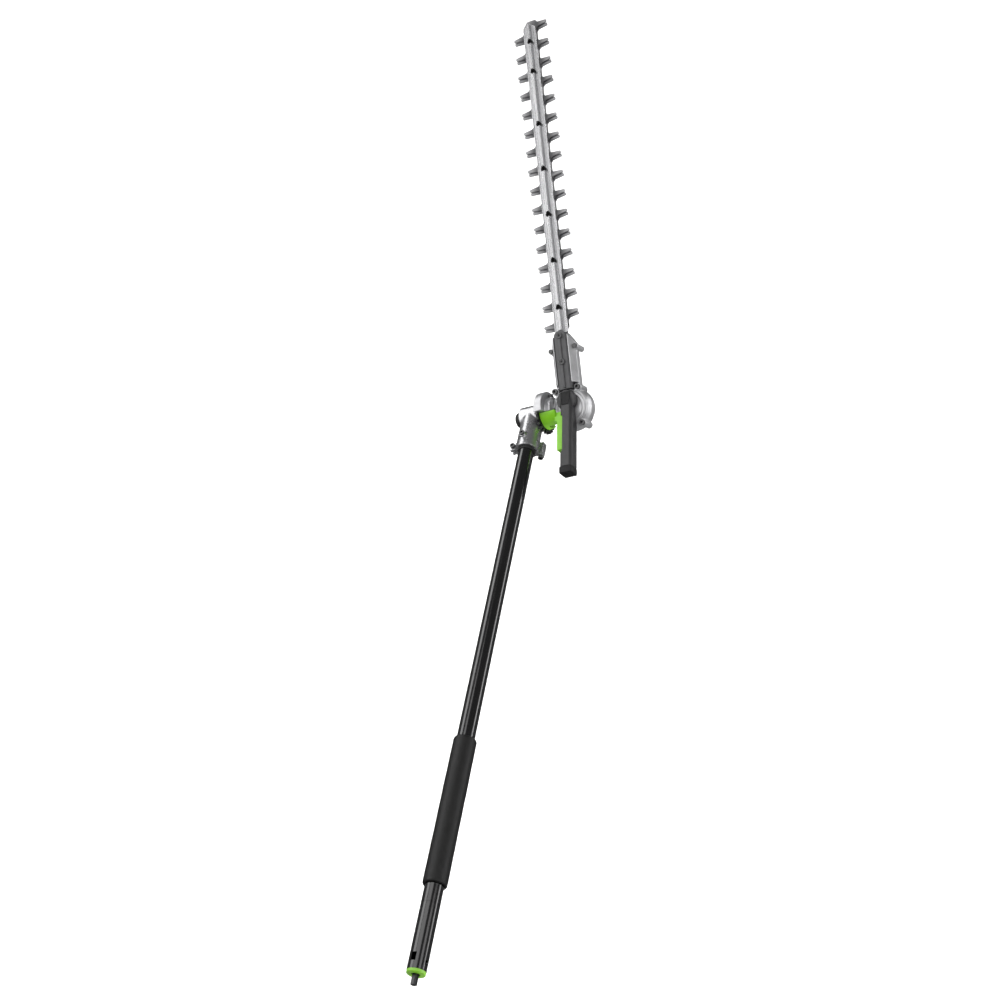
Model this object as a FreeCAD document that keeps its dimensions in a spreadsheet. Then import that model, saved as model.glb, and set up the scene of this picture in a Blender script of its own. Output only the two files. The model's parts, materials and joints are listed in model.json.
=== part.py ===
"""Long-reach hedge trimmer attachment with a folding head, in millimetres.

World frame: the origin is the centre of the tube's lower (spigot) end, +X runs along the tube
towards the head, +Z is up, and the head sits to the -Y side of the tube.
Head frame: origin where the crank axis meets the pivot axis, +X along the blades, +Y back towards
the tube, +Z out of the cover side.
"""
import FreeCAD, Part
import math
import os
import Sketcher
from FreeCAD import Placement, Rotation, Vector

doc = FreeCAD.newDocument("hedge_trimmer_attachment")
sheet = doc.addObject("Spreadsheet::Sheet", "sheet")

SIZES = [
    ("tube_diameter", 24.0), ("tube_wall", 1.5), ("tube_length", 832.0), ("tube_entry", 806.0),
    ("grip_start", 105.0), ("grip_end", 306.0), ("grip_diameter", 31.3),
    ("slot_start", 9.0), ("slot_end", 19.0), ("slot_width", 6.5), ("latch_hole", 6.0),
    ("cap_rim", 4.0), ("cap_diameter", 23.4), ("mark_station", 80.0),
    ("drive_square", 7.0), ("drive_stub", 16.0), ("drive_round", 8.0),
    ("guide_length", 26.0), ("guide_count", 4.0),
    ("pivot_station", 875.0), ("bend_angle", 30.0), ("head_offset", 65.5),
    ("case_radius", 17.5), ("hub_radius", 18.5), ("hub_start", -17.6), ("hub_end", 21.0),
    ("ring_radius", 31.0), ("ring_thick", 4.0), ("ring_teeth", 24.0), ("ring_tooth_deep", 4.0),
    ("knuckle_radius", 34.0), ("knuckle_near", 47.6), ("knuckle_far", 34.5),
    ("barrel_radius", 22.5), ("core_radius", 17.0), ("sleeve_bore", 22.2), ("sleeve_length", 13.4),
    ("drum_radius", 33.0), ("drum_wall", 3.5), ("drum_top", 7.0), ("drum_floor", -17.0),
    ("neck_half", 20.0), ("neck_end", 120.0), ("neck_top", 8.0), ("neck_bottom", -9.0),
    ("cover_half", 11.8), ("cover_height", 6.0),
    ("tooth_pitch", 33.0), ("tooth_count", 16.0), ("first_tooth", 152.0), ("tooth_stagger", 16.5),
    ("blade_half", 11.5), ("tooth_reach", 30.3), ("blade_thick", 2.2), ("blade_gap", 0.3),
    ("blade_offset", 2.4), ("blade_throw", 5.0), ("blade_tip", 656.0),
    ("bar_half", 9.0), ("bar_start", 106.0), ("bar_end", 650.0), ("bar_flange", 2.2),
    ("rib_half", 2.9), ("rib_height", 5.6), ("screw_pitch", 77.6), ("first_screw", 161.0),
    ("screw_pocket", 4.6), ("screw_shank", 2.5), ("crank_pin", 4.0), ("crown_radius", 26.0),
    ("grip_lean", 13.0), ("handle_half", 10.0), ("handle_length", 120.0), ("handle_front", 6.5),
    ("handle_deep", 20.0), ("trigger_travel", 6.0),
]
for row, (alias, value) in enumerate(SIZES, start=1):
    sheet.set(f"A{row}", alias)
    sheet.set(f"B{row}", str(value))
    sheet.setAlias(f"B{row}", alias)
doc.recompute()


class Size:
    """A length from the sheet, or worked out from it, with its number and its sheet formula."""

    def __init__(self, value, text):
        self.value = float(value)
        self.text = text

    def __add__(self, other):
        other = as_size(other)
        return Size(self.value + other.value, f"({self.text} + {other.text})")

    def __sub__(self, other):
        other = as_size(other)
        return Size(self.value - other.value, f"({self.text} - {other.text})")

    def __mul__(self, other):
        other = as_size(other)
        return Size(self.value * other.value, f"({self.text} * {other.text})")

    def __truediv__(self, other):
        other = as_size(other)
        return Size(self.value / other.value, f"({self.text} / {other.text})")

    def __neg__(self):
        return Size(-self.value, f"(0 - {self.text})")

    def __radd__(self, other):
        return as_size(other) + self

    def __rsub__(self, other):
        return as_size(other) - self

    def __rmul__(self, other):
        return as_size(other) * self


def as_size(value):
    if isinstance(value, Size):
        return value
    return Size(value, f"({float(value):.6f})")


class Sizes:
    """Gives each sheet alias as a Size."""

    def __getattr__(self, alias):
        return Size(sheet.get(alias), f"sheet.{alias}")


S = Sizes()
AXES = {
    "X": Rotation(Vector(0, 1, 0), 90),
    "Y": Rotation(Vector(1, 0, 0), -90),
    "Z": Rotation(),
}
NODES = {}


def bind(thing, name, value):
    """Binds one property to the sheet."""
    thing.setExpression(name, as_size(value).text)


def put(thing, place, rotation=Rotation()):
    """Places a primitive at a point whose three coordinates come from the sheet."""
    numbers = [as_size(value).value for value in place]
    thing.Placement = Placement(Vector(*numbers), rotation)
    for letter, value in zip("xyz", place):
        bind(thing, f"Placement.Base.{letter}", value)
    return thing


def box(along_x, along_y, along_z):
    """A box between a low and a high value on each axis."""
    block = doc.addObject("Part::Box", "block")
    for name, (low, high) in zip(("Length", "Width", "Height"), (along_x, along_y, along_z)):
        bind(block, name, as_size(high) - low)
    return put(block, [low for low, high in (along_x, along_y, along_z)])


def spot(axis, low, centre):
    """The start point of a round piece on an axis; centre holds the other two coordinates."""
    place = list(centre)
    place.insert("XYZ".index(axis), low)
    return place


def rod(radius, axis, span, centre=(0, 0)):
    """A cylinder along an axis, from span[0] to span[1]."""
    bar = doc.addObject("Part::Cylinder", "rod")
    bind(bar, "Radius", radius)
    bind(bar, "Height", as_size(span[1]) - span[0])
    return put(bar, spot(axis, span[0], centre), AXES[axis])


def taper(radius_low, radius_high, axis, span, centre=(0, 0)):
    """A cone along an axis, from span[0] to span[1]."""
    cone = doc.addObject("Part::Cone", "taper")
    bind(cone, "Radius1", radius_low)
    bind(cone, "Radius2", radius_high)
    bind(cone, "Height", as_size(span[1]) - span[0])
    return put(cone, spot(axis, span[0], centre), AXES[axis])


def fuse(*pieces):
    joined = doc.addObject("Part::MultiFuse", "joined")
    joined.Shapes = list(pieces)
    joined.Refine = True
    return joined


def cut(base, *tools):
    """Cuts the tools out of the base one after another."""
    for tool in tools:
        step = doc.addObject("Part::Cut", "cut")
        step.Base = base
        step.Tool = tool
        step.Refine = tool is tools[-1]
        base = step
    return base


def common(first, second):
    result = doc.addObject("Part::MultiCommon", "common")
    result.Shapes = [first, second]
    return result


def tube(outer, inner, axis, span, centre=(0, 0)):
    """A plain ring or tube."""
    return cut(rod(outer, axis, span, centre), rod(inner, axis, span, centre))


def turned(pose, *pieces):
    """The same pieces seen through another placement."""
    holder = doc.addObject("Part::Compound", "turned")
    holder.Links = list(pieces)
    holder.Placement = pose
    return holder


def keep(name, pose, *pieces):
    """Names a finished sub-part; several pieces stay separate solids in one node."""
    node = doc.addObject("Part::Compound", name)
    node.Label = name
    node.Links = list(pieces)
    node.Placement = pose
    NODES[name] = node
    return node


def origin_plane(body, role):
    return next(item for item in body.Origin.OriginFeatures if item.Role == role)


def outline(body, role, points, reverse=False):
    """A closed sketch whose corners are tied to the sheet on one of the body's origin planes."""
    sketch = body.newObject("Sketcher::SketchObject", "outline")
    sketch.AttachmentSupport = [(origin_plane(body, role), "")]
    sketch.MapMode = "FlatFace"
    draw_loop(sketch, points, 0)
    return sketch


def draw_loop(sketch, points, first):
    """Draws a closed loop of lines whose corners are tied to the sheet."""
    corners = [Vector(as_size(u).value, as_size(v).value, 0) for u, v in points]
    count = len(corners)
    for index, corner in enumerate(corners):
        sketch.addGeometry(Part.LineSegment(corner, corners[(index + 1) % count]), False)
    for index in range(count):
        sketch.addConstraint(Sketcher.Constraint("Coincident", first + index, 2,
                                                 first + (index + 1) % count, 1))
    for index, point in enumerate(points):
        for kind, value in zip(("DistanceX", "DistanceY"), point):
            number = as_size(value).value
            rule = sketch.addConstraint(
                Sketcher.Constraint(kind, -1, 1, first + index, 1, number))
            sketch.setExpression(f"Constraints[{rule}]", as_size(value).text)


def raise_sketch(sketch, height):
    """Lifts a sketch off its origin plane."""
    sketch.AttachmentOffset = Placement(Vector(0, 0, as_size(height).value), Rotation())
    sketch.setExpression("AttachmentOffset.Base.z", as_size(height).text)


def lathe(name, pose, profile):
    """A body turned about its X axis from a profile of (station, radius) corners."""
    body = doc.addObject("PartDesign::Body", name)
    body.Label = name
    sketch = outline(body, "XY_Plane", profile)
    spin = body.newObject("PartDesign::Revolution", "spin")
    spin.Profile = sketch
    spin.ReferenceAxis = (next(i for i in body.Origin.OriginFeatures if i.Role == "X_Axis"), [""])
    spin.Angle = 360
    body.Placement = pose
    NODES[name] = body
    return body


def plate(name, pose, points, low, high):
    """A body padded from an outline in its XY plane, between two heights."""
    body = doc.addObject("PartDesign::Body", name)
    body.Label = name
    sketch = outline(body, "XY_Plane", points)
    raise_sketch(sketch, low)
    pad = body.newObject("PartDesign::Pad", "pad")
    pad.Profile = sketch
    bind(pad, "Length", as_size(high) - low)
    body.Placement = pose
    NODES[name] = body
    return body


WORLD = Placement()
HEAD = Placement(Vector(S.pivot_station.value, -S.head_offset.value, 0),
                 Rotation(Vector(0, 1, 0), -S.bend_angle.value))
LEAN = math.radians(S.grip_lean.value)
HANDLE_ROOT = Vector(18, 0, 9)
LEVER_SPAN = (26, 90)
HANDLE = HEAD.multiply(Placement(
    FreeCAD.Matrix(-math.cos(LEAN), 0, math.sin(LEAN), HANDLE_ROOT.x,
                   0, -1, 0, HANDLE_ROOT.y,
                   math.sin(LEAN), 0, math.cos(LEAN), HANDLE_ROOT.z,
                   0, 0, 0, 1)))
IN_HEAD = HEAD.inverse().multiply(HANDLE)
CLEAR = 0.4


# ---------------------------------------------------------------- shaft and its ends
def make_shaft():
    outer = S.tube_diameter / 2
    inner = outer - S.tube_wall
    skin = tube(outer, inner, "X", (0, S.tube_length))
    slot = box((S.slot_start, S.slot_end), (-S.slot_width / 2, S.slot_width / 2), (5, outer + 1))
    hole = rod(S.latch_hole / 2, "Y", (-outer - 1, -5), ((S.slot_start + S.slot_end) / 2 - 4, 0))
    mark = tube(outer + 1, outer - 0.3, "X", (S.mark_station, S.mark_station + 1.5))
    keep("shaft_tube", WORLD, cut(skin, slot, hole, mark))

    grip = S.grip_diameter / 2
    lathe("foam_grip", WORLD, [
        (S.grip_start, outer), (S.grip_start, grip - 1.6), (S.grip_start + 1.6, grip),
        (S.grip_end - 1.6, grip), (S.grip_end, grip - 1.6), (S.grip_end, outer)])
    rim = S.cap_diameter / 2
    bore = S.drive_square * 0.5 + 2.2
    lathe("end_cap", WORLD, [
        (-S.cap_rim, bore), (-S.cap_rim, rim - 0.8), (0.8 - S.cap_rim, rim), (0, rim),
        (0, inner), (S.slot_start - 2, inner), (S.slot_start - 2, bore)])
    spacing = (S.tube_entry - S.slot_end) / S.guide_count
    guides = []
    for index in range(int(S.guide_count.value)):
        start = S.slot_end + 12 + spacing * index
        guides.append(tube(inner, S.drive_round / 2 + 0.08, "X", (start, start + S.guide_length)))
    keep("drive_guides", WORLD, *guides)


# ---------------------------------------------------------------- gear case on the tube
BEARING_WIDE = 6.0


def make_gear_case():
    station = S.pivot_station
    outer = S.tube_diameter / 2
    sleeve = rod(S.case_radius, "X", (S.tube_entry, station), (0, 0))
    hub = rod(S.hub_radius, "Y", (S.hub_start, S.hub_end), (station, 0))
    nose = rod(11.5, "Y", (S.hub_end, S.hub_end + 2), (station, 0))
    ear = box((S.tube_entry, S.tube_entry + 13), (8, 24.5), (-3, 9))
    foot = box((S.tube_entry - 3, S.tube_entry + 22), (-21, -13.4), (-20, -10))
    foot_web = box((S.tube_entry + 4, S.tube_entry + 22), (-15, -4), (-20, -8))
    screw_boss = rod(5.5, "Z", (10, 20), (S.tube_entry + 19, 0))
    case = fuse(sleeve, hub, nose, ear, foot, foot_web, screw_boss)
    tube_bore = rod(outer, "X", (S.tube_entry - 1, S.tube_length))
    drive_bore = rod(S.drive_round / 2 + 1, "X", (S.tube_length - 1, station))
    bearing_seat = rod(9.5, "X", (S.tube_length + 1, S.tube_length + 1 + BEARING_WIDE))
    chamber = rod(14.6, "Y", (-14.2, 15.4), (station, 0))
    pinion_room = rod(13.6, "X", (station - 17, station), (0, 0))
    output_bore = rod(7.5, "Y", (S.hub_start - 1, 0), (station, 0))
    end_seat = rod(8.0, "Y", (0, S.hub_end + 6), (station, 0))
    clamp_slit = box((S.tube_entry - 1, S.tube_entry + 14), (8, 25), (1.2, 3.2))
    bolt_hole = rod(2.7, "Z", (-4, 10), (S.tube_entry + 6.5, 19.5))
    foot_hole = rod(2.6, "X", (S.tube_entry - 4, S.tube_entry + 18), (-17.3, -15))
    locate_hole = rod(2.6, "Z", (outer, 21), (S.tube_entry + 19, 0))
    case = cut(case, tube_bore, drive_bore, bearing_seat, chamber, pinion_room, output_bore,
               end_seat, clamp_slit, bolt_hole, foot_hole, locate_hole)
    keep("gear_case", WORLD, case)

    bolt_at = S.tube_entry + 6.5
    clamp_bolt = fuse(rod(2.6, "Z", (-3, 9), (bolt_at, 19.5)), rod(4.2, "Z", (9, 13.2), (bolt_at, 19.5)))
    keep("clamp_bolt", WORLD, cut(clamp_bolt, rod(2.2, "Z", (10.5, 14), (bolt_at, 19.5))))
    foot_screw = fuse(rod(2.5, "X", (S.tube_entry - 3, S.tube_entry + 17), (-17.3, -15)),
                      rod(4.2, "X", (S.tube_entry - 7, S.tube_entry - 3), (-17.3, -15)))
    socket = rod(2.0, "X", (S.tube_entry - 8, S.tube_entry - 5), (-17.3, -15))
    keep("foot_screw", WORLD, cut(foot_screw, socket))
    locate_at = S.tube_entry + 19
    locate = fuse(rod(2.5, "Z", (outer, 20), (locate_at, 0)), rod(4.3, "Z", (20, 23.5), (locate_at, 0)))
    keep("locating_screw", WORLD, cut(locate, rod(2.0, "Z", (21.5, 24), (locate_at, 0))))
    lathe("seal_ring", WORLD, [
        (S.tube_entry - 4, outer), (S.tube_entry - 4, outer + 0.8), (S.tube_entry - 3, outer + 1.7),
        (S.tube_entry, outer + 1.7), (S.tube_entry, outer)])
    end = S.hub_end + 2
    plug = fuse(rod(7.95, "Y", (S.hub_end - 0.4, end), (station, 0)),
                taper(9.5, 8.2, "Y", (end, end + 5), (station, 0)))
    keep("pivot_end_plug", WORLD, cut(plug, rod(3.4, "Y", (end + 2.5, end + 6), (station, 0))))
    keep("drive_bearing", WORLD, tube(9.5, S.drive_round / 2 + 0.02, "X",
                                      (S.tube_length + 1, S.tube_length + 1 + BEARING_WIDE)))
    near_bearing = tube(7.95, 5.02, "Y", (S.hub_end - 5.4, S.hub_end - 0.6), (station, 0))
    sleeve_tip = S.hub_start - S.ring_thick - S.sleeve_length
    far_bearing = tube(8.0, 5.02, "Y", (sleeve_tip + 1, sleeve_tip + 6), (station, 0))
    keep("cross_bearings", WORLD, near_bearing, far_bearing)


def make_detent():
    """The toothed ring that holds the head's angle, its screws, and the hollow pivot sleeve."""
    station = S.pivot_station
    front = S.hub_start - S.ring_thick
    blank = tube(S.ring_radius, 7.6, "Y", (front, S.hub_start), (station, 0))
    notches = []
    for index in range(int(S.ring_teeth.value)):
        gap = box((-2.4, 2.4), (front - 1, S.hub_start + 1),
                  (S.ring_radius - S.ring_tooth_deep, S.ring_radius + 1))
        turn = Rotation(Vector(0, 1, 0), 360.0 / S.ring_teeth.value * index)
        notch = doc.addObject("Part::Compound", "notch")
        notch.Links = [gap]
        notch.Placement = Placement(Vector(station.value, 0, 0), turn)
        notch.setExpression("Placement.Base.x", station.text)
        notches.append(notch)
    holes = []
    screws = []
    for index in range(3):
        angle = math.radians(90 + 120 * index)
        at = (station + 14.6 * math.cos(angle), 14.6 * math.sin(angle))
        holes.append(rod(2.1, "Y", (front - 1, S.hub_start + 1), at))
        screws.append(rod(2.0, "Y", (front, S.hub_start + 3), at))
    keep("detent_ring", WORLD, cut(blank, *notches, *holes))
    keep("detent_screws", WORLD, *screws)
    case = NODES["gear_case"]
    case.Links = [cut(case.Links[0], *[rod(2.0, "Y", (S.hub_start - 1, S.hub_start + 3), at_of(screw))
                                       for screw in screws])]
    sleeve_end = front - S.sleeve_length
    bore = tube(S.sleeve_bore / 2, 8.0, "Y", (sleeve_end, front), (station, 0))
    keep("pivot_sleeve", WORLD, bore)


def at_of(screw):
    """The X and Z of a screw that lies along Y."""
    base = screw.Placement.Base
    return (base.x, base.z)


# ---------------------------------------------------------------- gears
def bevel_gear(teeth, pitch_radius, face, thick, phase=0.0, slim=0.42):
    """A 45 degree bevel gear about Z whose apex is at the origin and whose teeth face +Z.

    The pitch cone's large end has pitch_radius; teeth run inwards for the length face.
    """
    add = 0.9
    root = 1.15
    big = pitch_radius
    small = pitch_radius - face
    blank = Part.makeCone(big, small, big - small, Vector(0, 0, -big - root * 1.42))
    back = Part.makeCone(big - thick, big, thick, Vector(0, 0, -big - thick - root * 1.42))
    solid = blank.fuse(back)
    half = math.pi * big / teeth * slim
    tip = root + add
    sunk = 0.4
    for index in range(teeth):
        def ring(radius, scale):
            width = half * scale
            low = Vector(radius - sunk, 0, -radius - root * 1.42 - sunk)
            out = Vector(tip * 0.707 * scale + sunk, 0, tip * 0.707 * scale + sunk)
            return Part.makePolygon([low + Vector(0, -width, 0), low + Vector(0, width, 0),
                                     low + out + Vector(0, width * 0.45, 0),
                                     low + out + Vector(0, -width * 0.45, 0),
                                     low + Vector(0, -width, 0)])
        tooth = Part.makeLoft([ring(big, 1.0), ring(small + 0.05, small / big)], True)
        tooth.rotate(Vector(0, 0, 0), Vector(0, 0, 1), 360.0 / teeth * index + phase)
        solid = solid.fuse(tooth)
    return solid.removeSplitter()


def feature(name, shape, pose):
    thing = doc.addObject("Part::Feature", name)
    thing.Label = name
    thing.Shape = shape
    thing.Placement = pose
    NODES[name] = thing
    return thing


MITRE_TEETH = 12
MITRE_RADIUS = 11.0
MITRE_FACE = 5.5


def make_drive():
    station = S.pivot_station
    square = S.drive_square / 2
    stub = box((-S.drive_stub, S.slot_end), (-square, square), (-square, square))
    corner = 0.5 * S.drive_square.value * math.sqrt(2) - 0.9
    stub = common(stub, rod(corner, "X", (-S.drive_stub, S.slot_end)))
    long = rod(S.drive_round / 2, "X", (S.slot_end, station - MITRE_RADIUS - 2.0))
    keep("drive_shaft", WORLD, fuse(stub, long))

    gear = bevel_gear(MITRE_TEETH, MITRE_RADIUS, MITRE_FACE, 2.0)
    bored = gear.cut(Part.makeCylinder(S.drive_round.value / 2, 40, Vector(0, 0, -MITRE_RADIUS - 40)))
    pose = Placement(Vector(station.value, 0, 0), Rotation(Vector(0, 1, 0), 90))
    feature("drive_pinion", bored, pose)


CROWN_RATIO = 3
PINION_TEETH = 9
CROWN_TOP = -6.1
PINION_RADIUS = 5.0


def make_cross_shaft():
    station = S.pivot_station
    inner_end = -(S.head_offset - S.crown_radius - 1.5)
    shaft = rod(5.0, "Y", (inner_end, S.hub_end - 0.7), (station, 0))
    keep("cross_shaft", WORLD, shaft)
    gear = bevel_gear(MITRE_TEETH, MITRE_RADIUS, MITRE_FACE, 2.0, phase=180.0 / MITRE_TEETH)
    gear = gear.cut(Part.makeCylinder(5.0, 60, Vector(0, 0, -45)))
    upright = Placement(Vector(station.value, 0, 0), Rotation(Vector(1, 0, 0), 90))
    feature("cross_gear", gear, upright)
    pinion = Part.makeCylinder(PINION_RADIUS - 1.2, 5.5)
    pitch = 2 * math.pi * PINION_RADIUS / PINION_TEETH
    for index in range(PINION_TEETH):
        tooth = Part.makeBox(2.4, pitch * 0.36, 5.5, Vector(PINION_RADIUS - 1.6, -pitch * 0.18, 0))
        tooth.rotate(Vector(0, 0, 0), Vector(0, 0, 1), 360.0 / PINION_TEETH * (index + 0.5))
        pinion = pinion.fuse(tooth)
    reach = -(S.head_offset.value - S.crown_radius.value) - 4.0
    feature("crank_pinion", pinion.removeSplitter(),
            Placement(Vector(station.value, reach, 0), Rotation(Vector(1, 0, 0), -90)))


def make_crank():
    """The crown gear under the blades and the two opposite crank pins that drive them."""
    teeth = CROWN_RATIO * PINION_TEETH
    rim = S.crown_radius.value
    gear = Part.makeCylinder(rim, 4.0, Vector(0, 0, -14.0))
    pitch = 2 * math.pi * (rim - 2) / teeth
    for index in range(teeth):
        tooth = Part.makeBox(5.0, pitch * 0.36, CROWN_TOP + 10.0, Vector(rim - 5.0, -pitch * 0.18, -10.0))
        tooth.rotate(Vector(0, 0, 0), Vector(0, 0, 1), 360.0 / teeth * index)
        gear = gear.fuse(tooth)
    gear = gear.cut(Part.makeCylinder(5.0, 8, Vector(0, 0, -16)))
    feature("crown_gear", gear.removeSplitter(), HEAD)
    throw = S.blade_throw
    lower = -S.blade_thick - S.blade_gap / 2
    journal = rod(5.0, "Z", (S.drum_floor + 1.8, -10.0))
    flange = rod(11.0, "Z", (-10.0, lower - 0.6))
    pins = [rod(S.crank_pin, "Z", (lower - 0.6, -S.blade_gap / 2), (throw, 0)),
            rod(S.crank_pin, "Z", (lower - 0.6, S.blade_thick + S.blade_gap), (-throw, 0))]
    keep("crank_shaft", HEAD, fuse(journal, flange, *pins))
    keep("crank_bearing", HEAD, tube(8.0, 5.02, "Z", (S.drum_floor + 1.5, -14.6)))


# ---------------------------------------------------------------- blades
def loops(body, name, outlines):
    """One sketch in the body's XY plane made of several closed outlines."""
    sketch = body.newObject("Sketcher::SketchObject", name)
    sketch.AttachmentSupport = [(origin_plane(body, "XY_Plane"), "")]
    sketch.MapMode = "FlatFace"
    first = 0
    for points in outlines:
        draw_loop(sketch, points, first)
        first += len(points)
    return sketch


def rectangle(x_span, half):
    low, high = x_span
    return [(low, -half), (high, -half), (high, half), (low, half)]


def add_teeth(body, name, first, side, low):
    """One row of ground teeth along a blade edge."""
    edge = side * (S.blade_half - 1)
    foot = side * (S.blade_half + 3.2)
    shoulder = side * (S.tooth_reach - 0.8)
    tip = side * S.tooth_reach
    sketch = loops(body, name, [[
        (first - 8.0, edge), (first - 7.2, side * S.blade_half), (first - 3.8, foot),
        (first - 2.2, shoulder), (first - 1.4, tip), (first + 1.4, tip), (first + 2.2, shoulder),
        (first + 3.8, foot), (first + 7.2, side * S.blade_half), (first + 8.0, edge)]])
    raise_sketch(sketch, low)
    pad = body.newObject("PartDesign::Pad", f"{name}_pad")
    pad.Profile = sketch
    bind(pad, "Length", S.blade_thick)
    doc.recompute()
    row = body.newObject("PartDesign::LinearPattern", f"{name}_row")
    row.Originals = [pad]
    row.Direction = (next(i for i in body.Origin.OriginFeatures if i.Role == "X_Axis"), [""])
    bind(row, "Length", S.tooth_pitch * (S.tooth_count - 1))
    row.Occurrences = int(S.tooth_count.value)
    body.Tip = row
    doc.recompute()


def make_blade(name, low, shift):
    """One blade: yoke ring around the crank pins, slim tail in the neck, toothed length."""
    pose = HEAD.multiply(Placement(Vector(shift, 0, 0), Rotation()))
    sweep = S.blade_throw + S.crank_pin
    reach = sweep + S.blade_throw + 1.0
    tail = 8.0
    ring_half = sweep + 5.2
    half = S.blade_half
    body = plate(name, pose, [
        (-reach - 4.2, ring_half), (reach + 4.2, ring_half), (reach + 9, tail), (128, tail),
        (132, half), (S.blade_tip - 12, half), (S.blade_tip - shift, 4.0),
        (S.blade_tip - shift, -4.0), (S.blade_tip - 3, -half), (132, -half), (128, -tail),
        (reach + 9, -tail), (reach + 4.2, -ring_half), (-reach - 4.2, -ring_half)],
        low, as_size(low) + S.blade_thick)
    doc.recompute()
    far_tooth = S.first_tooth - S.blade_offset
    add_teeth(body, "near_teeth", far_tooth - S.tooth_stagger, 1, low)
    add_teeth(body, "far_teeth", far_tooth, -1, low)
    spacer = S.screw_shank + 1.0
    slot = S.blade_throw + spacer + 0.6
    holes = [rectangle((-reach, reach), sweep + 0.6)]
    for station in screw_stations():
        holes.append(rectangle((station - slot, station + slot), spacer + 0.3))
    pocket = body.newObject("PartDesign::Pocket", "windows")
    pocket.Profile = loops(body, "window_outlines", holes)
    pocket.Midplane = True
    pocket.Length = 40
    body.Tip = pocket
    doc.recompute()


def screw_stations():
    """Five evenly spaced screws, then a wider step and a closer last one at the tip."""
    even = [S.first_screw + S.screw_pitch * index for index in range(5)]
    last = S.first_screw + S.screw_pitch * 5
    return even + [last + 15, last + 68]


def make_blade_bar():
    """The aluminium guide bar above the blades, its screws, spacers and nuts."""
    low = S.blade_thick + S.blade_gap
    high = low + S.bar_flange
    flange = box((S.bar_start, S.bar_end - 8), (-S.bar_half, S.bar_half), (low, high))
    nose = doc.addObject("Part::Wedge", "nose")
    nose.Xmin, nose.X2min, nose.Xmax, nose.X2max = 0, 0, 8, 8
    nose.Ymin, nose.Ymax = 0, S.bar_flange.value
    nose.Zmin, nose.Zmax = 0, 2 * S.bar_half.value
    nose.Z2min, nose.Z2max = 0, 2 * S.bar_half.value
    put(nose, (S.bar_end - 8, S.bar_half, low), Rotation(Vector(1, 0, 0), 90))
    rib = box((S.neck_end + 4, S.bar_end - 3), (-S.rib_half, S.rib_half), (high, high + S.rib_height))
    pockets = []
    screws = []
    nuts = []
    spacers = []
    bottom = -S.blade_thick - S.blade_gap / 2
    for station in screw_stations():
        pockets.append(rod(S.screw_pocket, "Z", (high, high + S.rib_height + 1), (station, 0)))
        pockets.append(rod(S.screw_shank + 0.05, "Z", (low - 1, high + 1), (station, 0)))
        head = rod(S.screw_pocket - 0.5, "Z", (high, high + 3.4), (station, 0))
        shank = rod(S.screw_shank, "Z", (bottom - 6.0, high), (station, 0))
        screws.append(cut(fuse(head, shank), rod(1.9, "Z", (high + 1.2, high + 4), (station, 0))))
        spacer = tube(S.screw_shank + 1.0, S.screw_shank + 0.05, "Z", (bottom, low), (station, 0))
        washer = tube(7.0, S.screw_shank + 0.05, "Z", (bottom - 1.6, bottom - 0.15), (station, 0))
        spacers += [fuse(spacer, tube(S.screw_shank + 1.0, S.screw_shank + 0.05, "Z",
                                      (bottom - 0.2, bottom + 0.1), (station, 0)), washer)]
        nut = doc.addObject("Part::Prism", "nut")
        nut.Polygon = 6
        nut.Circumradius = 4.6
        nut.Height = 4.0
        put(nut, (station, 0, bottom - 5.6))
        nuts.append(cut(nut, rod(S.screw_shank + 0.02, "Z", (bottom - 6.5, bottom - 1), (station, 0))))
    keep("guide_bar", HEAD, cut(fuse(flange, nose, rib), *pockets))
    keep("bar_screws", HEAD, *screws)
    keep("bar_spacers", HEAD, *spacers)
    keep("bar_nuts", HEAD, *nuts)


# ---------------------------------------------------------------- head castings
BOSS_SPOTS = ((29, 20), (29, -18), (-29, 18), (-28, -20))
PAD_STATIONS = (71, 113)
LUG_SPOTS = ((94, 20.5), (94, -20.5))
SHOULDER_LOW = -5.0
LID_RADIUS = 29.4
CORE_START = 25.0
KNUCKLE_BOLT = (30.6, 3.0)
SLIDE_FACE = S.blade_thick + S.blade_gap + 0.2
RING_FACE = S.head_offset + S.hub_start - S.ring_thick


def drum_shoulder(top):
    """The coned upper part of the drum, up to a given height."""
    slope = (S.drum_radius - LID_RADIUS) / (S.drum_top - SHOULDER_LOW)
    return taper(S.drum_radius, S.drum_radius - slope * (top - SHOULDER_LOW), "Z", (SHOULDER_LOW, top))


def neck_corners():
    """The two corner blocks taken off the neck's far end, where it narrows to the bar."""
    blocks = []
    for side in (1, -1):
        block = box((-8, 40), (-20 if side < 0 else 0, 0 if side < 0 else 20), (-30, 30))
        corner = Vector(S.neck_end.value - 19, side * S.neck_half.value, 0)
        blocks.append(turned(Placement(corner, Rotation(Vector(0, 0, 1), -side * 32.3)), block))
    return blocks


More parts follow.
